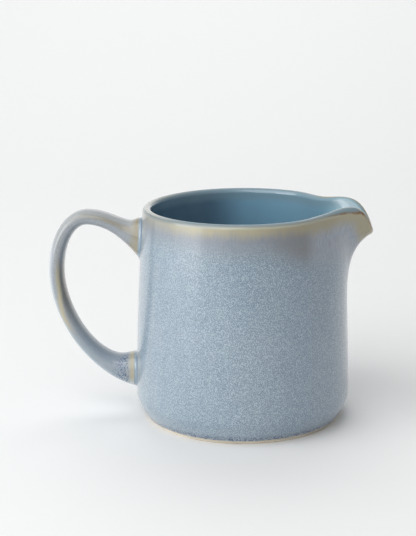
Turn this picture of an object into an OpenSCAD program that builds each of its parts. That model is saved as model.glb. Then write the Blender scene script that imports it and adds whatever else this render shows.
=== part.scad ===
// Small stoneware pitcher: a footed body with a pouring spout pulled from its rim, an ear handle
// luted on with slip, a plain glaze poured inside and a reactive glaze dipped outside.
// Origin: centre of the foot on the table. +Z up, +X towards the spout, -X towards the handle.

/* [Body] */
// Outside diameter of the glazed body at its widest
body_d = 100; // [94:1:125]
// Outside diameter of the glazed rim
rim_d = 91.8; // [76:0.1:96]
// Height of the rim above the table, away from the spout
rim_h = 100; // [80:1:130]
// Diameter of the foot where it meets the table
foot_d = 88.6; // [70:0.1:94]
// Thickness of the wall over both glazes
wall = 4.1; // [3:0.1:6]
// Thickness of the floor over the inside glaze
floor_t = 4.5; // [3:0.1:8]
// Height of the turned-in lower corner of the body
corner_h = 10.7; // [7:0.1:16]
// Radius of the corner between the inside wall and the floor
inner_corner_r = 10; // [5:0.5:16]

/* [Foot] */
// Height of the bare foot ring, and depth of the hollow inside it
foot_h = 1.5; // [1:0.1:3]
// Width of the foot ring's flat face
foot_ring_w = 5; // [3:0.5:9]

/* [Spout] */
// How far the lip is pulled out past the round of the rim
spout_reach = 14.4; // [8:0.1:18]
// How far the pouring lip dips
spout_drop = 10.1; // [6:0.1:13]
// Angle to each side over which the wall is pulled out
spout_spread = 17.4; // [14:0.1:21]
// Angle to each side over which the pouring lip dips
dip_spread = 9.7; // [8:0.1:12]
// Depth below the lip over which the throat runs back into the wall
throat_depth = 10.2; // [8:0.1:16]
// How far the lip rises on each side of the dip
wing_rise = 2.4; // [0:0.1:4]
// How far the wall is pressed in beside the spout
spout_pinch = 1.3; // [0:0.1:2.5]

/* [Handle] */
// Clear space between the body and the handle for the fingers
finger_gap = 33.5; // [26:0.5:44]
// Thickness of the glazed handle, measured outwards from the body
handle_t = 6.9; // [5.5:0.1:9]
// Width of the glazed handle from side to side
handle_w = 12.6; // [9:0.1:18]
// Distance from the rim down to the middle of the upper joint
upper_joint_drop = 15.9; // [13:0.1:20]
// Distance from the rim down to the middle of the handle at its top
crown_drop = 5.6; // [4:0.1:10]
// Height of the middle of the lower joint above the table
lower_joint_h = 21.3; // [17:0.1:30]

/* [Joints and glazes] */
// Thickness of the slip between the handle and the body
slip_t = 0.8; // [0.6:0.1:1.5]
// Height and width of the slip fillet round each end of the handle
slip_fillet = 1.8; // [1.4:0.1:2.6]
// Thickness of each glaze coat
glaze_t = 0.4; // [0.2:0.05:0.6]

/* [Hidden] */

// Wall
half_wall = wall / 2;
half_clay = half_wall - glaze_t;
lip_z = rim_h - half_wall;
taper_power = 1.65;
corner_power = 1.61;
corner_start = acos(pow(1 - foot_h / corner_h, 1 / corner_power)) / 90;
clay_floor_z = foot_h + floor_t - glaze_t;
inner_corner_z = clay_floor_z + inner_corner_r;

// Spout
nose_power = 2.4;
throat_power = 0.9;
lift_depth = 40;
wing_angle = 13;
wing_spread = 11;
pinch_angle = 36;
pinch_spread = 12;
pinch_depth = 25;

// Foot
foot_edge = 0.4;
foot_sunk = 1.5;

// Handle
bend_share = 0.746;
crown_inwards = 15;
crown_round = 8.3;
upper_start = 10.4;
lower_start_share = 0.52;
shoulder_share = 0.57;
back_share = 0.475;
section_power = 2.4;
joint_tilt = [28, -6];
joint_flare = [6.3, 4.8];
flare_depth = [6.3, 11.5];
joint_widening = [1.8, 2.2];
settle_depth = 6;
slip_clearance = 0.04;

// Fineness of the surfaces
wall_steps = 10;
corner_steps = 4;
lip_step = 30;
section_sides = 24;
path_steps = 9;
slope_step = 0.4;
FACE_SHARES = [0.02, 0.35, 0.7];
ANGLES = concat(
    [for (a = [-36:4:-20]) a], [for (a = [-16:2:16]) a],
    [for (a = [20:4:36]) a], [for (a = [45:7.5:315]) a]
);

// ---- Surfaces made from rings of points --------------------------------------------------------

// Faces between ring i and ring k, facing away from the rings' inside. Each patch is split along
// its shorter diagonal, so that two skins over the same rings meet face to face.
function band(rings, i, k) =
    let (n = len(rings[i]))
    [
        for (j = [0:n - 1])
            let (
                next = (j + 1) % n,
                forwards = norm(rings[i][j] - rings[k][next]) <= norm(rings[i][next] - rings[k][j]),
                a = i * n + j,
                b = i * n + next,
                c = k * n + j,
                d = k * n + next
            )
            each (forwards ? [[a, c, d], [a, d, b]] : [[a, c, b], [c, d, b]])
    ];

// A closed solid skinned over rings. Flat ends close it, or the last ring meets the first.
module skinned(rings, endless = false) {
    n = len(rings[0]);
    last = len(rings) - 1;
    sides = [for (i = [0:last - 1]) each band(rings, i, i + 1)];
    ends = endless
        ? band(rings, last, 0)
        : [[for (j = [0:n - 1]) j], [for (j = [n - 1:-1:0]) last * n + j]];
    polyhedron(points = [for (r = rings) each r], faces = concat(sides, ends), convexity = 6);
}

function reversed(list) = [for (i = [len(list) - 1:-1:0]) list[i]];
function unit(v) = v / norm(v);
function bump(x, width, power = 2) = exp(-pow(abs(x) / width, power));
function settled(x) = exp(-pow(max(0, x), 1.5));

// ---- Body --------------------------------------------------------------------------------------

// Outside radius of the glazed wall at a height, before the spout is pulled.
function wall_r(z) =
    let (up = max(0, (z - corner_h) / (lip_z - corner_h)))
    body_d / 2 - (body_d - rim_d) / 2 * pow(up, taper_power);

// Angle from the middle of the spout, from 0 to 180.
function off_spout(a) = a > 180 ? 360 - a : abs(a);

// The middle of the wall at an angle and a height, with the spout pulled out of it.
function pulled(a, z) =
    let (
        side = off_spout(a),
        depth = max(0, lip_z - z),
        out = spout_reach * bump(side, spout_spread, nose_power) * bump(depth, throat_depth, throat_power),
        rise = wing_rise * bump(side - wing_angle, wing_spread),
        dip = spout_drop * bump(side, dip_spread, nose_power),
        lift = (rise - dip) * bump(depth, lift_depth),
        pinch = spout_pinch * bump(side - pinch_angle, pinch_spread) * bump(depth, pinch_depth),
        r = wall_r(z) - half_wall - pinch
    )
    [r * cos(a) + out, r * sin(a), z + lift];

function upwards(a, z) = unit(pulled(a, z) - pulled(a, z - slope_step));
function onwards(a, z) = pulled(a + slope_step, z) - pulled(a - slope_step, z);
function outwards(a, z) = unit(cross(onwards(a, z), upwards(a, z)));

// A ring on the wall, offset from the wall's middle. A negative offset is on the inside.
function wall_ring(z, offset) = [for (a = ANGLES) pulled(a, z) + offset * outwards(a, z)];

// A ring on the round of the lip, which turns from 0 outside to 180 inside.
function lip_ring(turn, offset) = [
    for (a = ANGLES)
        pulled(a, lip_z) + offset * (cos(turn) * outwards(a, lip_z) + sin(turn) * upwards(a, lip_z))
];

function round_ring(r, z) = [for (a = ANGLES) [r * cos(a), r * sin(a), z]];

// Heights of the wall's rings from a low one up to the lip, closer together near the lip.
function wall_heights(low) = [
    for (i = [wall_steps - 1:-1:0]) lip_z - (lip_z - low) * pow(i / wall_steps, 2)
];

function corner_ring(t, inset) = round_ring(
    (foot_d - (foot_d - body_d) * pow(sin(90 * t), corner_power)) / 2 - inset,
    corner_h * (1 - pow(cos(90 * t), corner_power))
);

// Rings up the outside, from the glaze line above the foot to the lip.
function outside_rings(inset) = concat(
    [for (i = [0:corner_steps]) corner_ring(corner_start + (1 - corner_start) * i / corner_steps, inset)],
    [for (z = wall_heights(corner_h)) wall_ring(z, half_wall - inset)]
);

function lip_rings(from, to, inset) = [
    for (turn = [from:lip_step:to]) lip_ring(turn, half_wall - inset)
];

// Rings down the inside, from the lip to the edge of the flat floor.
function inside_rings(inset) =
    let (
        r = inner_corner_r - glaze_t + inset,
        middle_r = wall_r(inner_corner_z) - wall + glaze_t - inner_corner_r
    )
    concat(
        [for (z = reversed(wall_heights(inner_corner_z))) wall_ring(z, inset - half_wall)],
        [
            for (i = [0:corner_steps])
                let (turn = 90 * i / corner_steps)
                round_ring(middle_r + r * cos(turn), inner_corner_z - r * sin(turn))
        ]
    );

// The bare ring the pitcher stands on. Its top is sunk into the floor.
module foot_ring() {
    outer_r = foot_d / 2;
    inner_r = outer_r - foot_ring_w;
    top_r = outer_r + foot_h / 2;
    rotate_extrude($fn = 180)
        polygon([
            [inner_r, 0], [outer_r - foot_edge, 0], [outer_r, foot_edge], [top_r, foot_h],
            [outer_r - foot_edge, foot_h + foot_sunk], [inner_r, foot_h + foot_sunk]
        ]);
}

module body() {
    color("#b5a68e")
        union() {
            skinned(concat(
                outside_rings(glaze_t),
                lip_rings(lip_step, 180 - lip_step, glaze_t),
                inside_rings(glaze_t)
            ));
            foot_ring();
        }
}

// ---- Handle ------------------------------------------------------------------------------------

// The two joints are numbered 0, the upper, and 1, the lower.
joint_z = [rim_h - upper_joint_drop, lower_joint_h];
crown_z = rim_h - crown_drop;
bend_x = -(body_d / 2 + finger_gap + handle_t / 2);
bend_z = lower_joint_h + bend_share * (joint_z[0] - lower_joint_h);
crown_x = bend_x + crown_inwards;

// Radius of the bare wall that the joints are pressed onto. The clay lies square to a wall that leans.
function wall_lean(z) = atan((wall_r(z) - wall_r(z - slope_step)) / slope_step);
function clay_r(z) = wall_r(z) - half_wall + half_clay / cos(wall_lean(z));
function joint_point(end) = [-clay_r(joint_z[end]), joint_z[end]];
function joint_heading(end) = [-cos(joint_tilt[end]), sin(joint_tilt[end])];

function curve(p, t) =
    let (u = 1 - t)
    u * u * u * p[0] + 3 * u * u * t * p[1] + 3 * u * t * t * p[2] + t * t * t * p[3];
function heading(p, t) = unit(curve(p, t + 0.01) - curve(p, t - 0.01));

// The middle line of the handle as three curves: joint to crown, crown to bend, bend to joint.
PATH = [
    [
        joint_point(0), joint_point(0) + upper_start * joint_heading(0),
        [crown_x + crown_round, crown_z], [crown_x, crown_z]
    ],
    [
        [crown_x, crown_z], [crown_x - crown_round, crown_z],
        [bend_x, bend_z + shoulder_share * (crown_z - bend_z)], [bend_x, bend_z]
    ],
    [
        [bend_x, bend_z], [bend_x, bend_z - back_share * (bend_z - lower_joint_h)],
        joint_point(1) + lower_start_share * (-bend_x - body_d / 2) * joint_heading(1),
        joint_point(1)
    ]
];

// A section of the handle round a point of its middle line, whose heading is given. Near a joint
// the section opens out, stands upright and follows the curve of the wall.
function section(end, point, heading, grow) =
    let (
        away = -point[0] - clay_r(point[1]),
        flare = settled(away / flare_depth[end]),
        half_t = handle_t / 2 - glaze_t + joint_flare[end] * flare + grow,
        half_w = handle_w / 2 - glaze_t + joint_widening[end] * flare + grow,
        hold = bump(away, settle_depth),
        upright = [0, end == 0 ? 1 : -1],
        side = unit((1 - hold) * [heading[1], -heading[0]] + hold * upright)
    )
    [
        for (i = [0:section_sides - 1])
            let (
                turn = 360 * i / section_sides,
                across = half_t * sign(cos(turn)) * pow(abs(cos(turn)), 2 / section_power),
                y = half_w * sign(sin(turn)) * pow(abs(sin(turn)), 2 / section_power),
                x = point[0] + across * side[0],
                z = point[1] + across * side[1],
                on_wall = -sqrt(pow(clay_r(z) + away, 2) - y * y)
            )
            [hold * on_wall + (1 - hold) * x, y, z]
    ];

// Sections close to a joint, at a height above the clay wall.
function joint_section(end, height, grow) =
    let (towards = (end == 0 ? 1 : -1) * joint_heading(end))
    section(end, joint_point(end) + height * joint_heading(end), towards, grow);

// The same section shrunk towards its middle, to fill the face of a joint.
function shrunk_section(end, height, scale) =
    let (
        ring = joint_section(end, height, 0),
        z0 = joint_z[end] + height * joint_heading(end)[1]
    )
    [
        for (p = ring)
            let (y = p[1] * scale, z = z0 + (p[2] - z0) * scale)
            [-sqrt(pow(clay_r(z) + height, 2) - y * y), y, z]
    ];

function face_rings(end, height) = [for (s = FACE_SHARES) shrunk_section(end, height, s)];

// Sections along the handle from one slip fillet to the other.
function handle_rings(grow) = concat(
    [joint_section(0, slip_fillet, grow)],
    [
        for (part = [0:2], i = [1:path_steps])
            if (part < 2 || i < path_steps)
                let (t = i / path_steps, end = part == 2 ? 1 : 0)
                section(end, curve(PATH[part], t), heading(PATH[part], t), grow)
    ],
    [joint_section(1, slip_fillet, grow)]
);

module handle() {
    color("#bcae97")
        skinned(concat(
            face_rings(0, slip_t), [joint_section(0, slip_t, 0)],
            handle_rings(0),
            [joint_section(1, slip_t, 0)], reversed(face_rings(1, slip_t))
        ));
}

// ---- Slip joints -------------------------------------------------------------------------------

// The slip under one end of the handle and the fillet squeezed out round it.
function slip_rings(end) = concat(
    face_rings(end, slip_clearance),
    [joint_section(end, slip_clearance, slip_fillet), joint_section(end, glaze_t, slip_fillet)],
    [
        for (turn = [30:30:90])
            joint_section(
                end,
                glaze_t + (slip_fillet - glaze_t) * (1 - cos(turn)),
                slip_fillet * (1 - sin(turn))
            )
    ],
    [joint_section(end, slip_t, 0)],
    reversed(face_rings(end, slip_t))
);

module upper_slip_joint() {
    color("#a9a595")
        skinned(slip_rings(0));
}

module lower_slip_joint() {
    color("#a9a595")
        skinned(reversed(slip_rings(1)));
}

// What a joint takes out of the glaze on the wall, from under the coat to well above it.
module joint_clearance(end) {
    rings = [
        for (height = [-glaze_t, slip_clearance, glaze_t, 2 * slip_fillet])
            joint_section(end, height, slip_fillet)
    ];
    skinned(end == 0 ? rings : reversed(rings));
}

// ---- Glazes ------------------------------------------------------------------------------------

module body_glaze() {
    color("#93a5b4")
        difference() {
            skinned(concat(
                outside_rings(0), lip_rings(lip_step, 90, 0),
                reversed(lip_rings(lip_step, 90, glaze_t)), reversed(outside_rings(glaze_t))
            ), endless = true);
            joint_clearance(0);
            joint_clearance(1);
        }
}

module handle_glaze() {
    color("#9fadb8")
        skinned(concat(handle_rings(glaze_t), reversed(handle_rings(0))), endless = true);
}

module liner_glaze() {
    color("#557a90")
        skinned(concat(
            reversed(concat(lip_rings(90, 180 - lip_step, glaze_t), inside_rings(glaze_t))),
            lip_rings(90, 180 - lip_step, 0), inside_rings(0)
        ));
}

body();
handle();
upper_slip_joint();
lower_slip_joint();
body_glaze();
handle_glaze();
liner_glaze();
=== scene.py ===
# %% [markdown]
# # A small stoneware pitcher
# A pitcher like this is thrown on a wheel, its spout is pulled with a wet finger, and its handle is
# luted on with slip. It is glazed twice: a smooth blue poured inside, and a speckled glaze outside,
# which breaks to tan wherever it runs thin. The steps below make each piece, then each finish, and
# then the light. The packed model is loaded first, because every piece takes its place from it.

# %% Load the fixed frame
import math

import bmesh
import bpy
from mathutils import Matrix, Vector


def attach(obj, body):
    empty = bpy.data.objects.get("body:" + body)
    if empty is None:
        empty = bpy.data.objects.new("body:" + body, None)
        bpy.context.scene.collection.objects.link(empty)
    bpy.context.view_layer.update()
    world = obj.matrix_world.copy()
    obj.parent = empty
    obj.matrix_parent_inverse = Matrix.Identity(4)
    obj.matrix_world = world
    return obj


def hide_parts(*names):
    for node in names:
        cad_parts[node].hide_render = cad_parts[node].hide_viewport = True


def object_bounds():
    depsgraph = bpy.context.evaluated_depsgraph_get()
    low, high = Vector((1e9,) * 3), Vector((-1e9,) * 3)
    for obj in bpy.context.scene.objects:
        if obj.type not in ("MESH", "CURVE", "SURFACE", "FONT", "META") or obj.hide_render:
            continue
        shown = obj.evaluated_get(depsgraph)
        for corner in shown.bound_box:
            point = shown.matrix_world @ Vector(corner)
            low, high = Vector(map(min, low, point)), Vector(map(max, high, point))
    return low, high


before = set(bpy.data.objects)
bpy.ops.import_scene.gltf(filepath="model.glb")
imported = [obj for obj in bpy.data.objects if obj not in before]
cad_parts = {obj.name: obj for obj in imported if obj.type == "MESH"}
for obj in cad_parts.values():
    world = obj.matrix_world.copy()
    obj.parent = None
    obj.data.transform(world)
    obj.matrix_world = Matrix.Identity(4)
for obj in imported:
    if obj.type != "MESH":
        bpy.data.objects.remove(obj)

cad_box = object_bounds()
print("nodes:", sorted(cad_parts))

# %% [markdown]
# ## The potter's sizes
# All the sizes are in millimetres, as a potter would note them, and a mesh is scaled to metres when
# it is finished. The wall is drawn as its middle line with half the wall on each side, so that the
# clay and the two glazes can share one rule for how the spout is pulled.

# %% Sizes of the body
MM = 0.001
BODY_R = 50.0
RIM_R = 45.9
RIM_H = 100.0
FOOT_R = 44.3
FOOT_H = 1.5
FOOT_RING_W = 5.0
FLOOR_T = 4.5
HALF_WALL = 2.05
GLAZE_T = 0.4
CORNER_H = 10.7
CORNER_POWER = 1.61
TAPER_POWER = 1.65
INNER_CORNER_R = 10.0
INNER_CORNER_Z = FOOT_H + FLOOR_T - GLAZE_T + INNER_CORNER_R
LIP_Z = RIM_H - HALF_WALL


def wall_r(z):
    """Outside radius of the wall at a height, before the spout is pulled."""
    up = max(0.0, (z - CORNER_H) / (LIP_Z - CORNER_H))
    return BODY_R - (BODY_R - RIM_R) * up**TAPER_POWER


print("rim radius", round(wall_r(LIP_Z), 1), "mm at", round(LIP_Z, 1), "mm up")

# %% [markdown]
# ## How the spout is pulled
# On the wheel the rim is round. The potter holds the rim between two fingers and strokes the clay
# between them outwards and down. The middle of the spout comes out the furthest and dips, the clay
# on each side rises into a small wing, and the wall next to the fingers is pressed in a little. Each
# of these is a smooth bump over the angle and over the depth below the lip. Sculpting by hand would
# have to be done three times, for the clay and for each glaze. A space warp is the right tool: the
# pitcher is turned round first, and one function then pulls every vertex of it.

# %% The space warp that pulls the spout
SPOUT_REACH = 14.4
SPOUT_DROP = 10.1
SPOUT_SPREAD = 17.4
DIP_SPREAD = 9.7
NOSE_POWER = 2.4
THROAT_DEPTH = 10.2
THROAT_POWER = 0.9
WING_RISE = 2.4
WING_ANGLE = 13.0
WING_SPREAD = 11.0
LIFT_DEPTH = 40.0
PINCH = 1.3
PINCH_ANGLE = 36.0
PINCH_SPREAD = 12.0
PINCH_DEPTH = 25.0
# How far apart the wall is looked at, to find which way it runs
HEIGHT_STEP = 0.4
ANGLE_STEP = 0.4


def bump(x, width, power=2.0):
    """1 at zero, falling away smoothly on both sides."""
    return math.exp(-((abs(x) / width) ** power))


def pulled(angle, z):
    """The middle of the wall at an angle in degrees and a height, with the spout pulled out of it."""
    side = abs((angle + 180) % 360 - 180)
    depth = max(0.0, LIP_Z - z)
    nose = bump(side, SPOUT_SPREAD, NOSE_POWER) * bump(depth, THROAT_DEPTH, THROAT_POWER)
    rise = WING_RISE * bump(side - WING_ANGLE, WING_SPREAD)
    dip = SPOUT_DROP * bump(side, DIP_SPREAD, NOSE_POWER)
    lift = (rise - dip) * bump(depth, LIFT_DEPTH)
    pinch = PINCH * bump(side - PINCH_ANGLE, PINCH_SPREAD) * bump(depth, PINCH_DEPTH)
    r = wall_r(z) - HALF_WALL - pinch
    turn = math.radians(angle)
    return Vector((r * math.cos(turn) + SPOUT_REACH * nose, r * math.sin(turn), z + lift))


def pull_spout(co):
    """Where a point of the plain round pitcher goes when the spout is pulled."""
    z = min(co.z, LIP_Z)
    r = math.hypot(co.x, co.y)
    if z < CORNER_H or r < RIM_R / 2:
        return co
    angle = math.degrees(math.atan2(co.y, co.x))
    here = pulled(angle, z)
    upwards = (here - pulled(angle, z - HEIGHT_STEP)).normalized()
    onwards = pulled(angle + ANGLE_STEP, z) - pulled(angle - ANGLE_STEP, z)
    outwards = onwards.cross(upwards).normalized()
    return here + (r - wall_r(z) + HALF_WALL) * outwards + (co.z - z) * upwards


print("tip of the spout at", [round(x, 1) for x in pulled(0, LIP_Z)])

# %% [markdown]
# ## Turning a piece
# A potter's wheel is a lathe. A lathe profile is a chain of points from the axis, or round a closed
# loop, and bmesh's spin sweeps it through a full turn and welds the seam. A Screw modifier could
# sweep it too, but the warp needs real vertices. The poles are merged afterwards, so that the floor
# ends in one vertex.

# %% Turn a profile
TURN_STEPS = 256
MERGE_DISTANCE = 1e-4


def turned(profile, closed, steps=TURN_STEPS):
    """A bmesh turned from a profile of (radius, height) points."""
    bm = bmesh.new()
    chain = [bm.verts.new((r, 0, z)) for r, z in profile]
    pairs = list(zip(chain, chain[1:])) + ([(chain[-1], chain[0])] if closed else [])
    edges = [bm.edges.new(pair) for pair in pairs]
    bmesh.ops.spin(
        bm, geom=chain + edges, cent=(0, 0, 0), axis=(0, 0, 1), angle=math.tau,
        steps=steps, use_merge=True,
    )
    bmesh.ops.remove_doubles(bm, verts=bm.verts, dist=MERGE_DISTANCE)
    bmesh.ops.recalc_face_normals(bm, faces=bm.faces)
    return bm


print("a full turn has", TURN_STEPS, "steps")

# %% [markdown]
# ## Finishing a mesh
# Glazed ware is smooth all over, with an edge only where a coat ends, so every face is shaded smooth
# and only the steep edges are marked sharp. A smooth curve can stand a little proud of the packed
# model's flat facets, so each vertex is kept inside the packed model's box.

# %% Finish a mesh
SHARP_ANGLE = 50
GLAZE_SHARP_ANGLE = 60


def finished(bm, name, sharp_angle=SHARP_ANGLE):
    """An object in metres from a bmesh in millimetres, smooth but for its real edges."""
    for face in bm.faces:
        face.smooth = True
    for edge in bm.edges:
        if edge.is_manifold and edge.calc_face_angle(0) > math.radians(sharp_angle):
            edge.smooth = False
    bmesh.ops.scale(bm, vec=(MM, MM, MM), verts=bm.verts)
    for vert in bm.verts:
        vert.co = [min(max(value, low), high) for value, low, high in zip(vert.co, *cad_box)]
    mesh = bpy.data.meshes.new(name)
    bm.to_mesh(mesh)
    bm.free()
    piece = bpy.data.objects.new(name, mesh)
    bpy.context.scene.collection.objects.link(piece)
    print(f"{name}: {len(mesh.vertices)} vertices, {len(mesh.polygons)} faces")
    return piece


print("box to stay in, in millimetres:", [[round(x / MM, 1) for x in corner] for corner in cad_box])

# %% [markdown]
# ## The profile of the wall
# The outside runs from the glaze line above the foot, round the turned-in corner, up the wall and
# over the lip. The inside runs down from the lip to the floor. Both are written for any inset, so
# the clay takes an inset of one glaze coat and each glaze takes none. Points crowd towards the lip,
# where the spout bends the wall most. Clay that lies under a glaze needs fewer points.

# %% Lines of the outside
CORNER_STEPS = 18
WALL_STEPS = 44
LIP_STEPS = 20
CROWDING = 1.6
CORNER_START = math.acos((1 - FOOT_H / CORNER_H) ** (1 / CORNER_POWER))


def corner_line(inset, steps=CORNER_STEPS):
    """Points round the turned-in corner, from the glaze line up to the wall."""
    line = []
    for i in range(steps):
        t = CORNER_START + (math.pi / 2 - CORNER_START) * i / steps
        r = FOOT_R + (BODY_R - FOOT_R) * math.sin(t) ** CORNER_POWER
        line.append((r - inset, CORNER_H * (1 - math.cos(t) ** CORNER_POWER)))
    return line


def wall_line(offset, bottom, steps=WALL_STEPS):
    """Points up the wall at an offset from its middle, closer together near the lip."""
    heights = [LIP_Z - (LIP_Z - bottom) * (i / steps) ** CROWDING for i in range(steps, 0, -1)]
    return [(wall_r(z) - HALF_WALL + offset, z) for z in heights]


def lip_line(start, end, inset, steps=LIP_STEPS):
    """Points over the round of the lip, which turns from 0 degrees outside to 180 inside."""
    radius = HALF_WALL - inset
    middle = wall_r(LIP_Z) - HALF_WALL
    turns = [math.radians(start + (end - start) * i / steps) for i in range(steps + 1)]
    return [(middle + radius * math.cos(t), LIP_Z + radius * math.sin(t)) for t in turns]


print("outside points:", CORNER_STEPS + WALL_STEPS + LIP_STEPS + 1)

# %% [markdown]
# ## The profile of the inside
# Inside, a potter's rib leaves a generous round where the wall meets the floor. A true quarter circle
# is simpler than a bevel here, because the profile is only a line at this stage. The floor is flat.

# %% Lines of the inside
FLOOR_STEPS = 14
FLOOR_RINGS = 5


def floor_line(inset, steps=FLOOR_STEPS):
    """Round the inside corner, then flat to the axis."""
    radius = INNER_CORNER_R - GLAZE_T + inset
    middle = wall_r(INNER_CORNER_Z) - 2 * HALF_WALL + GLAZE_T - INNER_CORNER_R
    turns = [math.pi / 2 * i / steps for i in range(steps + 1)]
    line = [(middle + radius * math.cos(t), INNER_CORNER_Z - radius * math.sin(t)) for t in turns]
    edge_r, floor_z = line[-1]
    return line + [(edge_r * i / FLOOR_RINGS, floor_z) for i in range(FLOOR_RINGS - 1, -1, -1)]


def inside_line(inset):
    """Down the inside of the wall, round the corner and over the floor to the axis."""
    return wall_line(inset - HALF_WALL, INNER_CORNER_Z)[::-1] + floor_line(inset)


print("inside points:", len(inside_line(0)))

# %% [markdown]
# ## The clay body
# The body is one lump of fired stoneware. Almost all of it is under glaze, and only the foot ring
# stays bare, because glaze there would stick to the kiln shelf. The ring is trimmed with a slight
# bevel, and the hollow inside it is as deep as the ring is high. The body is turned from one line
# that starts and ends on the axis, which leaves no rim to fill, and then goes through the warp.

# %% Turn the clay body
FOOT_EDGE = 0.4
CLAY_TURN_STEPS = 128
CLAY_CORNER_STEPS = 8
CLAY_WALL_STEPS = 24
CLAY_LIP_STEPS = 12


def foot_line():
    """Up the hollow under the floor, over the foot ring and out to the glaze line."""
    inner = FOOT_R - FOOT_RING_W
    glaze_line = corner_line(GLAZE_T)[0][0]
    hollow = [(0, FOOT_H), (inner / 2, FOOT_H), (inner - 1.2, FOOT_H)]
    trimmed_inside = [(inner - 0.3, FOOT_H - 0.2), (inner, FOOT_H - 0.6), (inner + 0.1, 0.3)]
    stands_on = [(inner + FOOT_EDGE, 0), (FOOT_R - 0.5, 0)]
    trimmed_outside = [(FOOT_R - 0.15, 0.12), (FOOT_R, FOOT_EDGE), (FOOT_R + 0.3, FOOT_H - 0.5)]
    return hollow + trimmed_inside + stands_on + trimmed_outside + [(glaze_line, FOOT_H - 0.1)]


clay_profile = foot_line() + corner_line(GLAZE_T, CLAY_CORNER_STEPS)[1:]
clay_profile += wall_line(HALF_WALL - GLAZE_T, CORNER_H, CLAY_WALL_STEPS)
clay_profile += lip_line(0, 180, GLAZE_T, CLAY_LIP_STEPS)
clay_profile += wall_line(GLAZE_T - HALF_WALL, INNER_CORNER_Z, CLAY_WALL_STEPS)[::-1]
clay_profile += floor_line(GLAZE_T, CLAY_CORNER_STEPS)
bm = turned(clay_profile, closed=False, steps=CLAY_TURN_STEPS)
for vert in bm.verts:
    vert.co = pull_spout(vert.co)
clay_body = finished(bm, "clay_body")

# %% [markdown]
# ## Notes for the finishes
# A glaze's colour changes with how far it has run and how thin it lies. So each vertex of a glaze
# keeps two numbers for its finish: how far it lies below the lip along the wall, and how many degrees
# round the lip's curve it is. They are noted before the spout is pulled, so that the bands of the
# glaze follow the lip when it moves. A painted image would have to be painted again for each spout.

# %% Note the lip and pull the spout
def note_and_pull(bm, inside):
    """Keeps each vertex's depth below the lip and its turn over the lip, then pulls the spout."""
    below_lip = bm.verts.layers.float.new("below_lip")
    lip_turn = bm.verts.layers.float.new("lip_turn")
    for vert in bm.verts:
        above = max(0.0, vert.co.z - LIP_Z)
        turn = math.degrees(math.asin(min(1.0, above / HALF_WALL)))
        vert[below_lip] = max(0.0, LIP_Z - vert.co.z)
        vert[lip_turn] = 180 - turn if inside else turn
        vert.co = pull_spout(vert.co)


print("the lip turns from 0 degrees outside, over 90 at its top, to 180 inside")

# %% [markdown]
# ## The outer glaze
# A glaze is a real coat, about 0.4 mm thick, so it is a closed skin with an outside and an inside. It
# could be a Solidify modifier on a single sheet, but then its edge would be square. This one ends
# above the foot in a rolled edge that wanders slightly, as molten glaze does when it stops running,
# and at the top of the lip, where the liner glaze begins.

# %% Turn the outer glaze
ROLL_STEPS = 5
ROLL_STRETCH = 1.2
BACKING_LIP_STEPS = 8
EDGE_WANDER = 0.12


def rolled_edge():
    """The thick rolled edge at the glaze line, from the clay side round to the outside."""
    r, z = corner_line(GLAZE_T / 2)[0]
    radius = GLAZE_T / 2
    turns = [math.pi + math.pi * i / ROLL_STEPS for i in range(1, ROLL_STEPS)]
    return [(r + radius * math.cos(t), z + ROLL_STRETCH * radius * math.sin(t)) for t in turns]


def edge_wander(angle):
    """How far the glaze line strays up or down, at an angle round the foot."""
    waves = math.sin(5 * angle + 1) + 0.6 * math.sin(13 * angle) + 0.4 * math.sin(29 * angle + 2)
    return EDGE_WANDER * waves


outside = corner_line(0) + wall_line(HALF_WALL, CORNER_H) + lip_line(0, 90, 0)
backing = corner_line(GLAZE_T, CLAY_CORNER_STEPS)
backing += wall_line(HALF_WALL - GLAZE_T, CORNER_H, CLAY_WALL_STEPS)
backing += lip_line(0, 90, GLAZE_T, BACKING_LIP_STEPS)
bm = turned(rolled_edge() + outside + backing[::-1], closed=True)
for vert in bm.verts:
    if vert.co.z < FOOT_H + 1:
        fade = 1 - max(0.0, vert.co.z - FOOT_H)
        vert.co.z += fade * edge_wander(math.atan2(vert.co.y, vert.co.x))
note_and_pull(bm, inside=False)
outer_glaze = finished(bm, "outer_glaze", GLAZE_SHARP_ANGLE)

# %% [markdown]
# ## The liner glaze
# The liner is poured in and swilled round, so it covers all of the inside up to the top of the lip.
# Its skin is turned in the same way as the outer one, with its back against the clay and its face to
# the inside, so that the two coats meet at the crest.

# %% Turn the liner glaze
back = inside_line(GLAZE_T)[::-1] + lip_line(180, 90, GLAZE_T, BACKING_LIP_STEPS)
bm = turned(back + lip_line(90, 180, 0) + inside_line(0), closed=False)
note_and_pull(bm, inside=True)
liner_glaze = finished(bm, "inside_glaze_skin", GLAZE_SHARP_ANGLE)

# %% [markdown]
# ## The line of the handle
# The handle is a pulled strap. It leaves the wall under the rim, arches over, and comes back to the
# wall near the foot. Its middle line could be a Curve object with a bevel, but that keeps one section
# all the way. Here it is three Bezier curves that share their directions where they meet, and the
# sections along it are free to change.

# %% The handle's middle line
FINGER_GAP = 33.5
HANDLE_T = 6.9
JOINT_Z = [RIM_H - 15.9, 21.3]
JOINT_TILT = [28.0, -6.0]
CROWN_Z = RIM_H - 5.6
BEND_X = -(BODY_R + FINGER_GAP + HANDLE_T / 2)
BEND_SHARE = 0.746
BEND_Z = JOINT_Z[1] + BEND_SHARE * (JOINT_Z[0] - JOINT_Z[1])
CROWN_INWARDS = 15
CROWN_ROUND = 8.3
UPPER_START = 10.4
LOWER_START_SHARE = 0.52
SHOULDER_SHARE = 0.57
BACK_SHARE = 0.475


def clay_r(z):
    """Radius of the bare clay that the handle is pressed onto."""
    return wall_r(z) - GLAZE_T


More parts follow.
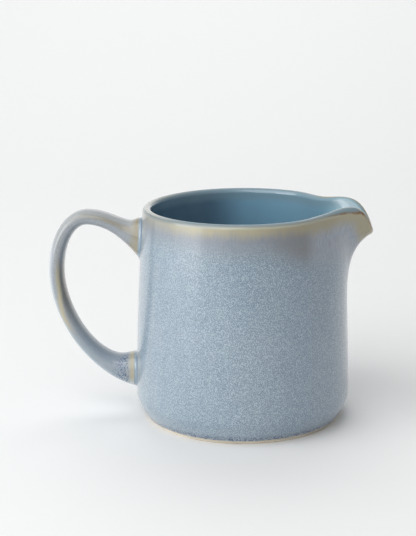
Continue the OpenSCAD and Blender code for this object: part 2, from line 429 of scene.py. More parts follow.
def joint_point(end, height=0.0):
    """A point off the wall at the upper joint, 0, or the lower, 1, as (x, z)."""
    tilt = math.radians(JOINT_TILT[end])
    base = Vector((-clay_r(JOINT_Z[end]), JOINT_Z[end]))
    return base + height * Vector((-math.cos(tilt), math.sin(tilt)))


crown = Vector((BEND_X + CROWN_INWARDS, CROWN_Z))
along_crown = Vector((CROWN_ROUND, 0))
bend = Vector((BEND_X, BEND_Z))
shoulder = bend + Vector((0, SHOULDER_SHARE * (CROWN_Z - BEND_Z)))
back_of_bend = bend - Vector((0, BACK_SHARE * (BEND_Z - JOINT_Z[1])))
lower_start = joint_point(1, LOWER_START_SHARE * (-BEND_X - BODY_R))
CURVES = [
    [joint_point(0), joint_point(0, UPPER_START), crown + along_crown, crown],
    [crown, crown - along_crown, shoulder, bend],
    [bend, back_of_bend, lower_start, joint_point(1)],
]


def on_line(s):
    """Point and direction of the middle line. s runs from 0 at the upper joint to 3 at the lower."""
    part = min(2, int(s))
    t = s - part
    p = CURVES[part]
    u = 1 - t
    point = u**3 * p[0] + 3 * u * u * t * p[1] + 3 * u * t * t * p[2] + t**3 * p[3]
    slope = 3 * u * u * (p[1] - p[0]) + 6 * u * t * (p[2] - p[1]) + 3 * t * t * (p[3] - p[2])
    return point, slope.normalized()


print("outermost point of the handle", round(-BEND_X + HANDLE_T / 2, 1), "mm from the axis")

# %% [markdown]
# ## The handle's sections
# The sections are squarish ovals. Near each joint they open out, stand upright and follow the curve
# of the wall, because the potter presses the strap's ends onto it. One function gives any point of
# any section, and the clay, the glaze and the joints are all made from it, so they fit each other.

# %% A point of a section
HANDLE_W = 12.6
SECTION_POWER = 2.4
JOINT_FLARE = [6.3, 4.8]
JOINT_WIDENING = [1.8, 2.2]
FLARE_DEPTH = [6.3, 11.5]
FLARE_POWER = 1.5
SETTLE_DEPTH = 6.0
HALFWAY = 1.5
HALVINGS = 40


def squarish(value):
    """A sine or cosine made fuller, which turns an ellipse into a squarish oval."""
    return math.copysign(abs(value) ** (2 / SECTION_POWER), value)


def section_point(s, turn, share, grow):
    """A point of the section at s, and how far off the wall the section is.

    The point lies at an angle round the section and a share of the way out from its middle, and
    grow is how much thicker than the clay the section is.
    """
    point, heading = on_line(s)
    end = 0 if s < HALFWAY else 1
    away = -point.x - clay_r(point.y)
    flare = bump(max(0.0, away), FLARE_DEPTH[end], FLARE_POWER)
    half_t = HANDLE_T / 2 - GLAZE_T + JOINT_FLARE[end] * flare + grow
    half_w = HANDLE_W / 2 - GLAZE_T + JOINT_WIDENING[end] * flare + grow
    hold = bump(away, SETTLE_DEPTH)
    upright = Vector((0, 1 if end == 0 else -1))
    side = ((1 - hold) * Vector((heading.y, -heading.x)) + hold * upright).normalized()
    across = share * half_t * squarish(math.cos(turn))
    y = share * half_w * squarish(math.sin(turn))
    x = point.x + across * side.x
    z = point.y + across * side.y
    on_wall = -math.sqrt((clay_r(z) + away) ** 2 - y * y)
    return Vector((hold * on_wall + (1 - hold) * x, y, z)), away


def height_to_s(end, height):
    """The place on the middle line that lies at a height above the wall, next to one joint."""
    near, far = (0.0, 1.0) if end == 0 else (3.0, 2.0)
    for _ in range(HALVINGS):
        middle = (near + far) / 2
        point, _ = on_line(middle)
        if -point.x - clay_r(point.y) < height:
            near = middle
        else:
            far = middle
    return (near + far) / 2


print("the strap is", HANDLE_W, "mm wide and", HANDLE_T, "mm thick")

# %% [markdown]
# ## The handle's clay and its glaze
# A strap is easiest to make as a straight turned rod with flat ends, one unit thick and with one
# ring of vertices for each station. A warp then puts each ring onto the middle line. The clay rod
# stops at the slip, and the glaze rod is one coat thicker and runs between the two slip fillets.
# Each vertex notes how far it is from the wall and which way round the strap it lies, because the
# glaze breaks along the strap's edges.

# %% Bend a rod into the handle
STRAP_STEPS = 64
STATIONS = 150
SLIP_T = 0.8
SLIP_FILLET = 1.8
GLAZE_END = 0.9 * SLIP_FILLET


def strap(height, grow):
    """A strap that starts and ends at a height above the wall, with filled ends."""
    start, end = height_to_s(0, height), height_to_s(1, height)
    stations = [start + (end - start) * i / STATIONS for i in range(STATIONS + 1)]
    profile = [(0, start), (0.5, start)] + [(1.0, s) for s in stations] + [(0.5, end), (0, end)]
    bm = turned(profile, closed=False, steps=STRAP_STEPS)
    off_wall = bm.verts.layers.float.new("off_wall")
    facing = bm.verts.layers.float.new("facing")
    for vert in bm.verts:
        turn = math.atan2(vert.co.y, vert.co.x)
        share = math.hypot(vert.co.x, vert.co.y)
        vert.co, vert[off_wall] = section_point(vert.co.z, turn, share, grow)
        vert[facing] = math.cos(turn)
    bmesh.ops.recalc_face_normals(bm, faces=bm.faces)
    return bm


clay_handle = finished(strap(SLIP_T, grow=0), "clay_handle")
handle_glaze = finished(strap(GLAZE_END, grow=GLAZE_T), "strap_glaze_skin")

# %% [markdown]
# ## The slip joints
# Where the handle is pressed on, slip is squeezed out and smoothed with a wet brush into a small
# hollow fillet. The glaze pools in it, and each joint shows as a dark blue line, the pooled glaze with
# painted shade in the crease, beside a pale line, a painted highlight on the fillet's curve. A bevel
# between the wall and the strap would need the two joined into one mesh, so each joint is a pad of its
# own: it starts on the wall, curls up in a quarter round and ends under the handle's glaze. Each
# vertex notes how far up the fillet it is.

# %% Make the fillets
FILLET_STEPS = 10
PAD_HEIGHT = 0.1
FILLET_START = 0.6 * GLAZE_T


def slip_joint(end, name):
    """A slip pad with a hollow fillet round it, from the wall up to the handle."""
    rows = FILLET_STEPS + 2
    profile = [(0, 0), (0.5, 0)] + [(1, row) for row in range(1, rows)] + [(0.5, rows), (0, rows)]
    bm = turned(profile, closed=False, steps=STRAP_STEPS)
    up_fillet = bm.verts.layers.float.new("up_fillet")
    for vert in bm.verts:
        row = round(vert.co.z)
        curl = math.pi / 2 * min(1.0, max(0, row - 1) / FILLET_STEPS)
        height = FILLET_START + (SLIP_FILLET - FILLET_START) * (1 - math.cos(curl))
        grow = GLAZE_T + (SLIP_FILLET - GLAZE_T) * (1 - math.sin(curl))
        s = height_to_s(end, PAD_HEIGHT if row == 0 else height)
        turn = math.atan2(vert.co.y, vert.co.x)
        vert.co, _ = section_point(s, turn, math.hypot(vert.co.x, vert.co.y), grow)
        vert[up_fillet] = curl / (math.pi / 2)
    bmesh.ops.recalc_face_normals(bm, faces=bm.faces)
    return finished(bm, name)


upper_slip = slip_joint(0, "upper_slip_fillet")
lower_slip = slip_joint(1, "lower_slip_fillet")

# %% [markdown]
# ## Writing finishes as sums
# A finish is easier to read as an expression than as a drawing of nodes. A small class wraps one
# socket of a node, and its operators add Math nodes, so that 1 - mask works as it reads.

# %% A value in a finish
class Value:
    """One socket of a finish. Sums on it add Math nodes."""

    def __init__(self, finish, socket):
        self.finish = finish
        self.socket = socket

    def __add__(self, other):
        return self.finish.math("ADD", self, other)

    def __radd__(self, other):
        return self.finish.math("ADD", other, self)

    def __sub__(self, other):
        return self.finish.math("SUBTRACT", self, other)

    def __rsub__(self, other):
        return self.finish.math("SUBTRACT", other, self)

    def __mul__(self, other):
        return self.finish.math("MULTIPLY", self, other)

    def __rmul__(self, other):
        return self.finish.math("MULTIPLY", other, self)


print("a value can be added, subtracted and multiplied")

# %% [markdown]
# ## A finish
# Each finish is one material with a Principled surface. Every node comes from one method that takes
# the node's type, its settings and its inputs, and a few short methods name the nodes that a glaze
# needs: where a point is, what its vertex has noted, a noise, a soft step between two values and a
# mix of two colours. Drawing the same nodes in the editor would hide what the finishes share.

# %% A finish
class Finish:
    """A material, its Principled surface and the nodes behind it."""

    def __init__(self, name):
        self.material = bpy.data.materials.new(name)
        self.material.use_nodes = True
        self.tree = self.material.node_tree
        self.surface = self.tree.nodes["Principled BSDF"]

    def join(self, value, socket):
        """Links a Value to a socket, or sets the socket to a plain number or colour."""
        if isinstance(value, Value):
            self.tree.links.new(value.socket, socket)
        else:
            socket.default_value = value

    def node(self, kind, settings, inputs, output=0):
        """Adds a node, sets it, joins its inputs and gives one output as a Value."""
        node = self.tree.nodes.new(kind)
        for name, value in settings.items():
            setattr(node, name, value)
        for key, value in inputs.items():
            self.join(value, node.inputs[key])
        return Value(self, node.outputs[output])

    def math(self, operation, *values):
        return self.node("ShaderNodeMath", {"operation": operation}, dict(enumerate(values)))

    def place(self):
        """The object's own coordinates in millimetres."""
        metres = self.node("ShaderNodeTexCoord", {}, {}, "Object")
        scale = {"operation": "SCALE"}
        return self.node("ShaderNodeVectorMath", scale, {0: metres, "Scale": 1 / MM})

    def axis(self, place, letter):
        """One coordinate of a place, X, Y or Z."""
        return self.node("ShaderNodeSeparateXYZ", {}, {0: place}, letter)

    def upright(self, place, share):
        """The place with its heights shortened, so that a pattern on it is drawn out upwards."""
        multiply = {"operation": "MULTIPLY"}
        return self.node("ShaderNodeVectorMath", multiply, {0: place, 1: (1.0, 1.0, share)})

    def noted(self, name):
        """A number that the mesh keeps at each vertex."""
        return self.node("ShaderNodeAttribute", {"attribute_name": name}, {}, "Fac")

    def noise(self, place, per_mm, detail):
        """Soft clouds from 0 to 1."""
        inputs = {"Vector": place, "Scale": per_mm, "Detail": detail}
        return self.node("ShaderNodeTexNoise", {}, inputs, "Fac")

    def cells(self, place, per_mm):
        """How far a place is from the nearest of evenly scattered points, in cells."""
        inputs = {"Vector": place, "Scale": per_mm}
        return self.node("ShaderNodeTexVoronoi", {"feature": "F1"}, inputs, "Distance")

    def step(self, value, start, end):
        """0 before start and 1 past end, with a soft step between. The start may be the higher."""
        inputs = {"Value": value, "From Min": min(start, end), "From Max": max(start, end)}
        soft = self.node("ShaderNodeMapRange", {"interpolation_type": "SMOOTHSTEP"}, inputs)
        return 1 - soft if start > end else soft

    def mix(self, share, first, second):
        """A colour between two others. A Mix node's sockets for colours are 6, 7 and output 2."""
        return self.node("ShaderNodeMix", {"data_type": "RGBA"}, {0: share, 6: first, 7: second}, 2)

    def set_surface(self, **inputs):
        """Joins inputs of the surface, named with _ for a space."""
        for name, value in inputs.items():
            self.join(value, self.surface.inputs[name.replace("_", " ")])
        print(f"{self.material.name}: {len(self.tree.nodes)} nodes")

    def bumps(self, height, distance, strength):
        """A relief that is as deep as a distance in millimetres."""
        inputs = {"Height": height, "Distance": distance * MM, "Strength": strength}
        return self.node("ShaderNodeBump", {}, inputs)


print("methods of a finish:", [name for name in vars(Finish) if not name.startswith("_")])

# %% [markdown]
# ## Colours
# A glaze's colours are easiest to note as the eye reads them, from 0 to 255. The nodes work in linear
# light, so each is turned into linear values once, here, by the curve that screens use.

# %% A colour
def colour(*levels):
    """A colour given as the eye reads it, from 0 to 255, in the linear values that nodes use."""

    def linear(level):
        v = level / 255
        return v / 12.92 if v <= 0.04045 else ((v + 0.055) / 1.055) ** 2.4

    return (*map(linear, levels), 1.0)


print("white is", colour(255, 255, 255))

# %% [markdown]
# ## Bare stoneware
# Fired clay with no glaze is dry, warm and slightly sandy. It shows only at the foot. Two noises are
# enough for it, a fine one for the sand and a wide one for the kiln's blush, with no texture image.

# %% The clay's finish
SANDY = colour(236, 228, 213)
DARK_SAND = colour(214, 203, 184)
BLUSH = colour(222, 208, 186)
clay = Finish("bare_stoneware")
place = clay.place()
grains = clay.noise(place, 2.2, 4)
blush = clay.step(clay.noise(place, 0.12, 2), 0.35, 0.7) * 0.5
sand = clay.mix(clay.step(grains, 0.4, 0.7), SANDY, DARK_SAND)
clay.set_surface(
    Base_Color=clay.mix(blush, sand, BLUSH), Roughness=0.8, Normal=clay.bumps(grains, 0.08, 0.5),
)

# %% [markdown]
# ## The speckled glaze
# The outer glaze is a reactive one. Where it lies thick it is a fine mosaic of dark blue dots, each
# about a third of a millimetre across, in a paler glass, with streaks where it ran. A noise gives soft
# clouds, but the dots form round scattered points, so their pattern is the distance from the nearest
# of such points. Where the glaze is thinner it is a plain haze, lavender by the handle, brown towards
# the spout and grey on it, with faint veins. Where it is thinnest it breaks to tan. One function makes
# this for the body and for the handle, from how much haze and tan there is at each place. The places
# of its soft steps are in millimetres along the pitcher, positive towards the spout.

# %% The speckled glaze
FLECKS_PER_MM = 3.0
FLECK_HEIGHT = 0.62
PALE = colour(166, 183, 194)
DEEP = colour(82, 103, 120)
MIDDLE = colour(129, 146, 161)
CLOUD = colour(140, 152, 167)
STREAK = colour(160, 176, 182)
PAINTED_SHADE_BLUE = colour(88, 110, 148)
LAVENDER = colour(133, 139, 146)
BROWN_HAZE = colour(118, 118, 116)
SPOUT_HAZE = colour(149, 157, 169)
VEIN = colour(118, 125, 138)
TAN = colour(166, 159, 132)
SPOUT_TAN = colour(152, 145, 120)


def speckled(finish, place, haze, tan):
    """The glaze's colour from its shares of haze and tan, and how much of it is pale glass."""
    along = finish.axis(place, "X")
    flecks = finish.cells(finish.upright(place, FLECK_HEIGHT), FLECKS_PER_MM)
    pale_glass = finish.step(flecks, 0.23, 0.75)
    speckle = finish.mix(pale_glass, DEEP, PALE)
    clouds = finish.step(finish.noise(place, 0.07, 3), 0.35, 0.65)
    streaks = finish.step(finish.noise(finish.upright(place, 0.25), 0.22, 2), 0.5, 0.68) * 0.35
    even = finish.mix(streaks, finish.mix(clouds, MIDDLE, CLOUD), STREAK)
    evenness = 0.27 + finish.step(along, 0.0, -40.0) * 0.13
    thick = finish.mix(evenness, speckle, even)
    # Painted shade: towards the spout, on the side away from the window, the glaze is tinted darker
    # and bluer.
    shaded = finish.mix(finish.step(along, 8.0, 34.0) * 0.13, thick, PAINTED_SHADE_BLUE)
    browner = finish.mix(finish.step(along, 5.0, 32.0), LAVENDER, BROWN_HAZE)
    greyer = finish.mix(finish.step(along, 28.0, 35.0), browner, SPOUT_HAZE)
    veins = finish.step(finish.noise(finish.upright(place, 0.2), 1.5, 2), 0.36, 0.64) * 0.45
    hazy = finish.mix(haze, shaded, finish.mix(veins, greyer, VEIN))
    thinnest = finish.mix(finish.step(along, 2.0, 30.0), TAN, SPOUT_TAN)
    return finish.mix(tan, hazy, thinnest), pale_glass


print(FLECKS_PER_MM, "flecks to the millimetre, drawn out upwards by", round(1 / FLECK_HEIGHT, 1))

# %% [markdown]
# ## The haze and the tan below the lip
# Glaze slides down from a rim while it melts, so the first few millimetres below the lip are the
# thinnest, and the dozen or so after them are thinner than the rest. The haze reaches further down by
# the spout and less far by the handle. The depth that each vertex noted follows the rim through the
# spout, which a height would not, and two noises make the border wander and run.

# %% Start the outer glaze
HAZE_SHARE = 0.93
glaze = Finish("speckled_outer_glaze")
place = glaze.place()
along, across, height = [glaze.axis(place, letter) for letter in "XYZ"]
depth = glaze.noted("below_lip")
wander = glaze.noise(place, 0.15, 3) - 0.5
runs = glaze.noise(glaze.upright(place, 0.15), 0.5, 3)
wavy_depth = depth + wander * 3 + (runs - 0.5) * 3
haze_reach = glaze.step(along, 8.0, 44.0) * 9 - glaze.step(along, -4.0, -40.0) * 3
haze = glaze.step(wavy_depth - haze_reach, 17.0, 4.0) * HAZE_SHARE
tan_reach = glaze.step(along, 24.0, 36.0) * 2.2
tan_share = 1 - glaze.step(along, -16.0, -40.0) * 0.5
tan = glaze.step(wavy_depth - tan_reach, 5.9, -0.5) * tan_share
wall_colour, pale_glass = speckled(glaze, place, haze, tan)
print("so far", len(glaze.tree.nodes), "nodes")

# %% [markdown]
# ## The glaze over the lip
# Over the lip the glaze is thinnest. Going up, it turns from tan to cream, a band that is partly the
# glaze's pale break and partly a painted highlight along the lip's outer round, then comes a fine grey
# seam where the two coats of glaze meet, then the crest, which is blue with liner glaze. At the spout
# the seam is ochre, and the bands shift on its two wings and at its tip. All of them are steps on one
# number, the degrees that the lip has turned. Below the lip that number goes on downwards, at about
# as many degrees to a millimetre as on the curve, so that a band may cross the lip's lower edge.

# %% The bands over the lip
DEGREES_PER_MM = 28
CREAM = colour(170, 171, 154)
GREY_CREAM = colour(140, 147, 143)
SPOUT_CREAM = colour(158, 147, 112)
SEAM = colour(120, 128, 132)
OCHRE = colour(118, 82, 26)
PALE_OCHRE = colour(164, 152, 112)
CREST = colour(124, 146, 155)
PALE_CREST = colour(170, 175, 168)
TIP_CREST = colour(156, 146, 112)
by_spout = glaze.step(along, 36.0, 50.0)
tip = glaze.step(along, 51.0, 57.0)
near_wing = by_spout * glaze.step(across, 1.0, -14.0)
far_wing = by_spout * glaze.step(across, 2.0, 8.0)
climb = near_wing * (1 - tip) * 26 - far_wing * 50 - tip * near_wing * 45
turn = glaze.noted("lip_turn") - depth * DEGREES_PER_MM + wander * 14 + climb
# The cream band is partly the glaze's pale break and partly a painted highlight, greyer towards the
# handle.
plain_cream = glaze.mix(glaze.step(along, 2.0, -24.0), CREAM, GREY_CREAM)
cream = glaze.mix(by_spout, plain_cream, SPOUT_CREAM)
to_cream = glaze.mix(glaze.step(turn, -10, 18), wall_colour, cream)
spout_seam = glaze.mix(far_wing, OCHRE, PALE_OCHRE)
seam = glaze.mix(by_spout * glaze.step(runs, 0.3, 0.6), SEAM, spout_seam)
seam_turn = turn + near_wing * (6 + (runs - 0.4) * 40)
seam_share = glaze.step(seam_turn, 20, 36) * (by_spout * 0.32 + 0.65)
to_seam = glaze.mix(seam_share, to_cream, seam)
plain_crest = glaze.mix(glaze.step(along, -20.0, -42.0), CREST, PALE_CREST)
to_crest = glaze.mix(glaze.step(turn, 42, 58), to_seam, glaze.mix(tip, plain_crest, TIP_CREST))
print("so far", len(glaze.tree.nodes), "nodes")

# %% [markdown]
# ## The glaze at the foot
# Glaze that has run down gathers above the foot in dark blue dots, and its rolled edge, which has run
# clear, shows the pale clay behind it. The finish is then put together. Its gloss is a clear coat over
# a softer layer, because melted glaze is a sheet of glass with the colours just under it.

# %% The foot and the gloss
POOLED = colour(58, 74, 104)
BARE_EDGE = colour(192, 185, 170)
dots = glaze.step(glaze.noise(place, 1.5, 1), 0.44, 0.56)
pooled = glaze.step(height, 5.2, 2.8) * dots * 0.9
bare_edge = glaze.step(height + (runs - 0.5) * 1.2, 2.05, 1.75)
glaze.set_surface(
    Base_Color=glaze.mix(bare_edge, glaze.mix(pooled, to_crest, POOLED), BARE_EDGE),
    Roughness=0.35,
    Coat_Weight=1.0,
    Coat_Roughness=0.16,
    Coat_IOR=1.5,
    Normal=glaze.bumps(pale_glass, 0.02, 0.35),
)

# %% [markdown]
# ## The liner glaze
# Inside, the potter pours a plain blue that melts smooth, and pours what is left out over the spout.
# It is darker by the handle and palest in the spout. From the middle of the far wall towards the
# spout it is a lighter blue, a painted highlight of the window. Over the lip it takes the crest's
# colour, with a warm edge on the far wing and at the tip. Soft steps along the pitcher do this without
# an image. It is glossier than the outside, and a wide soft relief gives it the slight waves of a
# poured coat.

# %% The liner glaze
LINER_DEEP = colour(83, 110, 132)
LINER_CLOUD = colour(89, 117, 138)
LINER_PAINTED_HIGHLIGHT = colour(120, 161, 184)
LINER_BY_SPOUT = colour(119, 157, 177)
LINER_IN_SPOUT = colour(152, 185, 195)
LINER_THIN = colour(122, 148, 160)
LINER_WING = colour(150, 140, 104)
LINER_TIP = colour(150, 140, 108)
liner = Finish("smooth_liner_glaze")
place = liner.place()
along, across = liner.axis(place, "X"), liner.axis(place, "Y")
turn = liner.noted("lip_turn")
clouds = liner.step(liner.noise(place, 0.05, 2), 0.3, 0.7)
by_handle = liner.mix(clouds, LINER_DEEP, LINER_CLOUD)
# Painted highlight: from the middle of the far wall towards the spout the liner is a lighter blue,
# standing in for the window's reflection.
with_painted_highlight = liner.mix(liner.step(along, -20.0, 2.0), by_handle, LINER_PAINTED_HIGHLIGHT)
by_spout = liner.mix(liner.step(along, 12.0, 34.0), with_painted_highlight, LINER_BY_SPOUT)
in_spout = liner.mix(liner.step(along, 36.0, 48.0), by_spout, LINER_IN_SPOUT)
thin = liner.mix(liner.step(liner.noted("below_lip"), 5.0, 1.0) * 0.7, in_spout, LINER_THIN)
crest = liner.mix(liner.step(along, -20.0, -42.0), CREST, PALE_CREST)
far_wing = liner.step(along, 33.0, 40.0) * liner.step(across, 1.0, 7.0)
wing_edge = liner.mix(far_wing * liner.step(turn, 150, 124), crest, LINER_WING)
edge = liner.mix(liner.step(along, 51.0, 57.0), wing_edge, LINER_TIP)
liner.set_surface(
    Base_Color=liner.mix(liner.step(turn, 150, 105), thin, edge),
    Roughness=0.25,
    Coat_Weight=1.0,
    Coat_Roughness=0.08,
    Normal=liner.bumps(liner.noise(place, 0.25, 2), 0.25, 0.4),
)

# %% [markdown]
# ## Where the handle's glaze breaks
# The handle is dipped in the same glaze. A strap has edges, and the glaze breaks to tan along them, in
# a line on each flank that lies nearer the outer face at the top and low down, and nearer the inner
# face in between. It also breaks in a collar just before each joint. The line follows the number that
# says which way a vertex faces, 1 on the outer face and -1 on the inner, and the collar follows the
# distance from the wall, because neither could be read from a place in space.

# %% Start the handle's glaze
strap_glaze = Finish("speckled_handle_glaze")
place = strap_glaze.place()
along, height = strap_glaze.axis(place, "X"), strap_glaze.axis(place, "Z")
facing = strap_glaze.noted("facing")
off_wall = strap_glaze.noted("off_wall")
wander = strap_glaze.noise(place, 0.15, 2) - 0.5
ragged = off_wall + (strap_glaze.noise(place, 0.6, 3) - 0.5) * 4
upper_half = strap_glaze.step(height, 55, 75)
at_top = strap_glaze.step(height, 70, 90) * 0.61
at_bottom = strap_glaze.step(height, 62, 48) * 0.48
off_ridge = strap_glaze.math("ABSOLUTE", facing - (at_top + at_bottom - 0.28) + wander * 0.25)
back_share = strap_glaze.step(height, 78, 66) * strap_glaze.step(height, 36, 48) * 0.75
top_share = strap_glaze.step(along, -90, -58) * strap_glaze.step(height, 72, 84) * 0.6
line = strap_glaze.step(off_ridge, 0.42, 0.05) * (back_share + top_share + 0.12)
collar = strap_glaze.step(off_wall, 1.3, 2.0) * strap_glaze.step(ragged, 7.0, 2.5)
ridge = strap_glaze.math("MAXIMUM", line, collar * upper_half)
haze = strap_glaze.step(height, 22, 50) * 0.2 + 0.3
speckle, pale_glass = speckled(strap_glaze, place, haze, collar * (1 - upper_half))
print("so far", len(strap_glaze.tree.nodes), "nodes")

# %% [markdown]
# ## The colours of the handle
# A round strap sheds more of its glaze than a flat wall, so the coat is thinner and greyer here. Its
# outer face is painted paler, most of all low down, a painted reflection of the pale surroundings, and
# its inner face, where it turns to the wall, is painted darker and browner, painted shade with a brown
# tint. By the lower joint it has pooled in dark dots over a plainer blue, like the dots above the
# foot.
# Each of these is one mix over the last, from the most general to the smallest, so each can be changed
# alone.

# %% The handle's glaze
STRAP_GREY = colour(154, 152, 150)
LOW_FACE_REFLECTION = colour(188, 197, 204)
HIGH_FACE_REFLECTION = colour(170, 174, 175)
INNER_SHADE_BROWN = colour(106, 99, 86)
LOW_RIDGE = colour(170, 163, 136)
HIGH_RIDGE = colour(146, 139, 118)
STRAP_POOLED = colour(62, 84, 118)
greyer = strap_glaze.mix(0.3, speckle, STRAP_GREY)
# Painted reflection: the outer face is painted paler, palest low down, as the pale surroundings
# reflect in it.
painted_face_reflection = strap_glaze.mix(strap_glaze.step(height, 74, 88), LOW_FACE_REFLECTION, HIGH_FACE_REFLECTION)
with_face_reflection = strap_glaze.mix(strap_glaze.step(facing, 0.2, 0.8) * 0.8, greyer, painted_face_reflection)
behind = strap_glaze.step(height, 80, 66) * strap_glaze.step(height, 40, 58)
# Painted shade: the inner face, turned to the wall, is painted darker, with a brown tint.
inner_shade_share = strap_glaze.step(facing, 0.0, -0.6) * behind * 0.7
both_faces = strap_glaze.mix(inner_shade_share, with_face_reflection, INNER_SHADE_BROWN)
ridge_colour = strap_glaze.mix(strap_glaze.step(height, 60, 85), LOW_RIDGE, HIGH_RIDGE)
broken = strap_glaze.mix(ridge, both_faces, ridge_colour)
by_lower_joint = strap_glaze.step(height, 44, 36)
plainer = by_lower_joint * strap_glaze.step(off_wall, 3.0, 4.5) * 0.45
dots = strap_glaze.step(strap_glaze.noise(place, 1.5, 1), 0.5, 0.57)
near_joint = strap_glaze.step(off_wall, 3.5, 5.0) * strap_glaze.step(ragged, 13.0, 7.0)
pooled = dots * near_joint * by_lower_joint * 0.9
strap_glaze.set_surface(
    Base_Color=strap_glaze.mix(pooled, strap_glaze.mix(plainer, broken, MIDDLE), STRAP_POOLED),
    Roughness=0.4,
    Coat_Weight=1.0,
    Coat_Roughness=0.08,
    Normal=strap_glaze.bumps(pale_glass, 0.02, 0.35),
)

# %% [markdown]
# ## The glaze in the joints
# Glaze runs into the hollow of a fillet and lies deep there. It is darkest in the crease at the wall,
# where the pooled glaze is darkened further with painted shade, and paler higher up under the handle,
# a painted highlight on the fillet's curve. A noise could not keep to the crease, so the number that
# says how far up the fillet a vertex lies makes both bands.

# %% The glaze pooled over the slip
CREASE_POOL_AND_SHADE = colour(84, 106, 128)
PAINTED_HIGHLIGHT_LINE = colour(134, 150, 160)
POOL_BLUE = colour(112, 132, 152)
pool = Finish("joint_glaze_pool_shade_highlight")
place = pool.place()
# Pooled glaze and painted shade in the crease, and a painted highlight higher up the fillet.
bands = pool.mix(pool.step(pool.noted("up_fillet"), 0.25, 0.7), CREASE_POOL_AND_SHADE, PAINTED_HIGHLIGHT_LINE)
patches = pool.step(pool.noise(place, 1.2, 2), 0.4, 0.6) * 0.4
pool.set_surface(
    Base_Color=pool.mix(patches, bands, POOL_BLUE),
    Roughness=0.25,
    Coat_Weight=1.0,
    Coat_Roughness=0.06,
)

# %% [markdown]
# ## Putting the pieces on the frame
# Each piece stands for its node of the packed model and rides on the one body. A list of rows is
# easier to check than seven blocks of the same lines.

# %% Place the pieces
PIECES = [
    (clay_body, clay, "body", "clay_body"),
    (clay_handle, clay, "handle", "clay_handle"),
    (upper_slip, pool, "upper_slip_joint", "slip_joint"),
    (lower_slip, pool, "lower_slip_joint", "slip_joint"),
    (outer_glaze, glaze, "body_glaze", "outer_glaze"),
    (handle_glaze, strap_glaze, "handle_glaze", "handle_glaze"),
    (liner_glaze, liner, "liner_glaze", "liner_glaze"),
]
for piece, finish, node, slot in PIECES:
    piece.data.materials.append(finish.material)
    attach(piece, "root")
    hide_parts(node)
    print(piece.name, "stands for", node)

# %% [markdown]
# ## The table
# A photographer's sweep is one sheet that curves up behind the object, so that no horizon shows. A
# plane and a wall would show the corner between them, so it is a line of points with a round bend,
# swept sideways. Its sizes are in metres, because it is no part of the pitcher.

# %% The sweep
SWEEP_HALF_W = 2.0
SWEEP_FRONT = 0.42
SWEEP_BACK = 0.6
SWEEP_TOP = 2.5
SWEEP_BEND_R = 1.5
SWEEP_BEND_STEPS = 16
turns = [math.pi / 2 * i / SWEEP_BEND_STEPS for i in range(SWEEP_BEND_STEPS + 1)]
side_view = [(-SWEEP_FRONT, 0)]
for t in turns:
    side_view.append((SWEEP_BACK + SWEEP_BEND_R * math.sin(t), SWEEP_BEND_R * (1 - math.cos(t))))
side_view.append((SWEEP_BACK + SWEEP_BEND_R, SWEEP_TOP))
bm = bmesh.new()
line = [bm.verts.new((-SWEEP_HALF_W, y, z)) for y, z in side_view]
edges = [bm.edges.new(pair) for pair in zip(line, line[1:])]
swept = bmesh.ops.extrude_edge_only(bm, edges=edges)
moved = [item for item in swept["geom"] if isinstance(item, bmesh.types.BMVert)]
bmesh.ops.translate(bm, vec=(2 * SWEEP_HALF_W, 0, 0), verts=moved)
bmesh.ops.recalc_face_normals(bm, faces=bm.faces)
for face in bm.faces:
    face.smooth = True
mesh = bpy.data.meshes.new("sweep")
bm.to_mesh(mesh)
bm.free()
sweep = bpy.data.objects.new("sweep", mesh)
bpy.context.scene.collection.objects.link(sweep)
paper = Finish("pale_paper")
paper.set_surface(Base_Color=colour(240, 241, 241), Roughness=0.9)
mesh.materials.append(paper.material)
print("the sweep is", 2 * SWEEP_HALF_W, "m wide")

# %% [markdown]
# ## The light
# The light is a big soft window on the left, in front and above, a low weak panel on the left that
# lifts the handle's shaded side, and a lamp over the backdrop. The window gives the bright left side
# and the long soft highlights, and the pale room fills the shade. The backdrop's lamp is hidden from
# reflections, because it would draw a white line along the glaze.

# %% The lamps
AIM = (0, 0, 0.05)
BACKDROP = (-0.05, 0.9, 0)


def softbox(name, place, target, side, power):
    """A square area light at a place in metres, turned towards a target."""
    light = bpy.data.lights.new(name, "AREA")
    light.shape = "SQUARE"
    light.size = side
    light.energy = power
    lamp = bpy.data.objects.new(name, light)
    bpy.context.scene.collection.objects.link(lamp)
    aim = (Vector(target) - Vector(place)).to_track_quat("-Z", "Y")
    lamp.matrix_world = Matrix.Translation(place) @ aim.to_matrix().to_4x4()
    print(f"{name}: {power} W, {side} m wide")
    return lamp


softbox("window", (-0.753, -0.753, 0.796), AIM, 1.9, 18.5)
softbox("side_fill", (-1.109, -0.64, 0.276), AIM, 0.8, 4.3)
backdrop_light = softbox("backdrop_light", (-0.05, 1.1, 1.5), BACKDROP, 1.2, 10.2)
backdrop_light.visible_glossy = False

# %% [markdown]
# ## The room
# A white room lights the shaded side from everywhere, so a plain white world is enough, with no
# image of a room. The Standard view keeps the paper as pale as it is.

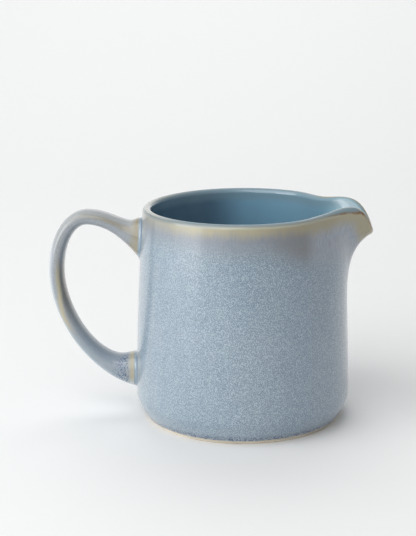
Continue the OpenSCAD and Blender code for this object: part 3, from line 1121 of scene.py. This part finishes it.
# %% The room
ROOM_STRENGTH = 0.38
world = bpy.data.worlds.new("room")
bpy.context.scene.world = world
world.use_nodes = True
background = world.node_tree.nodes["Background"]
background.inputs["Color"].default_value = (1, 1, 1, 1)
background.inputs["Strength"].default_value = ROOM_STRENGTH
bpy.context.scene.view_settings.view_transform = "Standard"
print("room strength", ROOM_STRENGTH)

# %% [markdown]
# ## The camera
# A long lens keeps the pitcher's sides nearly upright. It stands about two thirds of a metre away and
# 13 cm above the rim, so that the inside shows, with the handle on the left and the spout on the
# right. It is aimed by its own three angles, in radians, which is simpler than a Track To constraint
# on an empty when the aim also has a slight roll.

# %% The camera
CAMERA_DISTANCE = 0.6444
CAMERA_HEIGHT = 0.22684
CAMERA_ROUND = math.radians(2.0)
CAMERA_YAW = -0.0247
CAMERA_PITCH = 0.2383
CAMERA_ROLL = -0.0084
SENSOR_W = 36
LENS = 123.17
level = Vector((math.sin(CAMERA_YAW), math.cos(CAMERA_YAW), 0))
forward = math.cos(CAMERA_PITCH) * level - Vector((0, 0, math.sin(CAMERA_PITCH)))
right = Vector((math.cos(CAMERA_YAW), -math.sin(CAMERA_YAW), 0))
up = right.cross(forward)
rolled_right = math.cos(CAMERA_ROLL) * right + math.sin(CAMERA_ROLL) * up
rolled_up = math.cos(CAMERA_ROLL) * up - math.sin(CAMERA_ROLL) * right
camera_data = bpy.data.cameras.new("camera")
camera_data.sensor_fit = "HORIZONTAL"
camera_data.sensor_width = SENSOR_W
camera_data.lens = LENS
camera = bpy.data.objects.new("camera", camera_data)
bpy.context.scene.collection.objects.link(camera)
axes = Matrix((rolled_right, rolled_up, -forward)).transposed().to_4x4()
stand = Matrix.Translation((0, -CAMERA_DISTANCE, CAMERA_HEIGHT)) @ axes
camera.matrix_world = Matrix.Rotation(CAMERA_ROUND, 4, "Z") @ stand
bpy.context.scene.camera = camera
print("camera at", [round(x, 3) for x in camera.matrix_world.translation])

# %% [markdown]
